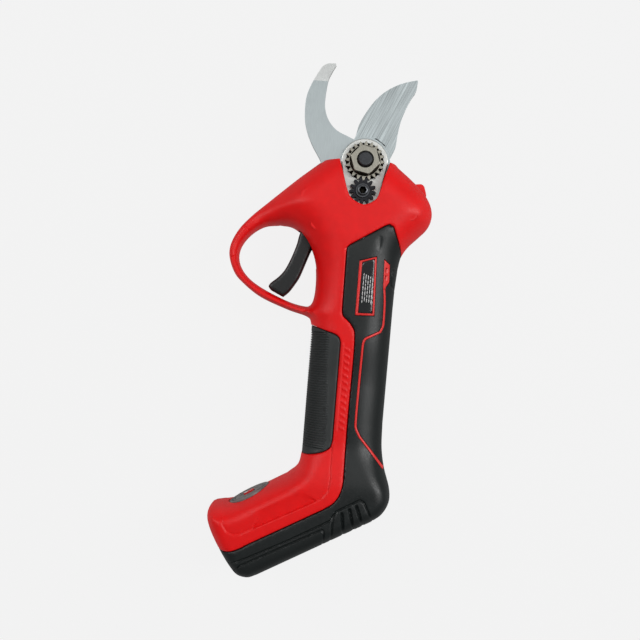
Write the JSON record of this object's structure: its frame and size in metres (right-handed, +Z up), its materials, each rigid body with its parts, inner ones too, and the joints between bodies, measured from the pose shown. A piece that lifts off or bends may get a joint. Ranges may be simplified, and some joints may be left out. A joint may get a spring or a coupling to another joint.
{
  "type": "cordless electric pruner",
  "caption": "Pistol-shaped cordless pruner with hooked fixed blade, swinging bypass blade, geared pivot nut, finger loop with trigger, ribbed grip and battery foot.",
  "frame": {"origin": "centre of the pivot bolt head's flat outer face, on the surface that the tool lies on", "axes": "+Y along the handle towards the blades, +X towards the back of the tool, +Z up through the pivot from the bolt head to the gear nut"},
  "size_m": [0.1131, 0.2896, 0.048],
  "materials": {
    "red_plastic": "fine satin grain, glass-filled nylon",
    "black_rubber": "matte overmoulded elastomer",
    "black_plastic": "satin",
    "grey_plastic": "satin",
    "label_face": "glossy printed film, left blank",
    "blade_steel": "ground tool steel",
    "plate_steel": "fine turned face",
    "nut_steel": "dull zinc-phosphate",
    "black_steel": "black oxide",
    "bright_steel": "machined",
    "cast_alloy": "die cast",
    "bronze": "sintered bronze",
    "copper": "enamelled winding",
    "board_green": "solder mask",
    "cell_wrap": "shrink wrap over a steel can",
    "clear_lens": "red translucent lens"
  },
  "bodies": {
    "housing": {"housing_right": "red_plastic", "housing_left": "red_plastic", "rear_cover_right": "black_rubber", "rear_cover_left": "black_rubber", "trim_line_right": "red_plastic", "trim_line_left": "red_plastic", "trim_badge_right": "red_plastic", "trim_badge_left": "red_plastic", "label_frame": "red_plastic", "label_panel": "label_face", "front_grip": "black_rubber", "fixed_blade": "blade_steel", "head_plate": "plate_steel", "head_frame": "cast_alloy", "pivot_bolt": "black_steel", "gear_nut": "nut_steel", "lock_gear": "black_steel", "lock_screw": "black_steel", "blade_screw_1": "black_steel", "blade_screw_2": "black_steel", "pivot_bush": "bronze", "ring_gear": "bright_steel", "pinion_bearing": "bright_steel", "motor_front_plate": "cast_alloy", "motor_bearing": "bright_steel", "motor_can": "black_steel", "motor_stator": "copper", "motor_end_bell": "cast_alloy", "trigger_pin": "bright_steel", "trigger_spring": "bright_steel", "hall_sensor_board": "board_green", "control_board": "board_green", "battery_cell_1": "cell_wrap", "battery_cell_2": "cell_wrap", "battery_cell_3": "cell_wrap", "battery_board": "board_green", "charge_socket": "black_plastic", "port_cover": "black_rubber", "button_bezel": "grey_plastic", "button_switch": "black_plastic", "housing_screw_1": "black_steel", "housing_screw_2": "black_steel", "housing_screw_3": "black_steel", "housing_screw_4": "black_steel", "housing_screw_5": "black_steel"},
    "cutting_blade": {"moving_blade": "blade_steel", "bevel_gear": "black_steel", "drive_pin_1": "bright_steel", "drive_pin_2": "bright_steel"},
    "output_shaft": {"bevel_pinion": "bright_steel", "planet_carrier": "bright_steel"},
    "planet_1": {"planet_gear_1": "bright_steel"},
    "planet_2": {"planet_gear_2": "bright_steel"},
    "planet_3": {"planet_gear_3": "bright_steel"},
    "rotor": {"sun_gear": "bright_steel", "motor_rotor": "black_steel"},
    "trigger": {"trigger": "black_plastic", "trigger_magnet": "bright_steel"},
    "power_button": {"power_button": "grey_plastic", "indicator_lens": "clear_lens"}
  },
  "joints": [
    {"name": "blade_swing", "type": "hinge", "parent": "housing", "child": "cutting_blade", "pos_m": [0, 0, 0.0303], "axis": [0, 0, 1], "range_deg": [0, 60]},
    {"name": "pinion_spin", "type": "hinge", "parent": "housing", "child": "output_shaft", "pos_m": [0, -0.0248, 0.02], "axis": [0, 1, 0], "range_deg": [0, 180]},
    {"name": "planet_spin_1", "type": "hinge", "parent": "output_shaft", "child": "planet_1", "pos_m": [0, -0.0379, 0.0278], "axis": [0, 1, 0], "range_deg": [-540, 0]},
    {"name": "planet_spin_2", "type": "hinge", "parent": "output_shaft", "child": "planet_2", "pos_m": [-0.00675, -0.0379, 0.0161], "axis": [0, 1, 0], "range_deg": [-540, 0]},
    {"name": "planet_spin_3", "type": "hinge", "parent": "output_shaft", "child": "planet_3", "pos_m": [0.00675, -0.0379, 0.0161], "axis": [0, 1, 0], "range_deg": [-540, 0]},
    {"name": "rotor_spin", "type": "hinge", "parent": "housing", "child": "rotor", "pos_m": [0, -0.07, 0.02], "axis": [0, 1, 0], "range_deg": [0, 720]},
    {"name": "trigger_pull", "type": "hinge", "parent": "housing", "child": "trigger", "pos_m": [-0.0235, -0.0365, 0.024], "axis": [0, 0, 1], "range_deg": [0, 10], "stiffness_Nm_per_rad": 0.5, "springref_deg": -8.59},
    {"name": "power_button_press", "type": "slide", "parent": "housing", "child": "power_button", "axis": [0.5015, -0.8652, 0], "range_m": [0, 0.0006], "stiffness_N_per_m": 1500, "springref_m": -0.0005}
  ],
  "couplings": [
    {"joint": "blade_swing", "follows": "rotor_spin", "ratio": 0.083333},
    {"joint": "pinion_spin", "follows": "rotor_spin", "ratio": 0.25},
    {"joint": "planet_spin_1", "follows": "rotor_spin", "ratio": -0.75},
    {"joint": "planet_spin_2", "follows": "rotor_spin", "ratio": -0.75},
    {"joint": "planet_spin_3", "follows": "rotor_spin", "ratio": -0.75}
  ]
}
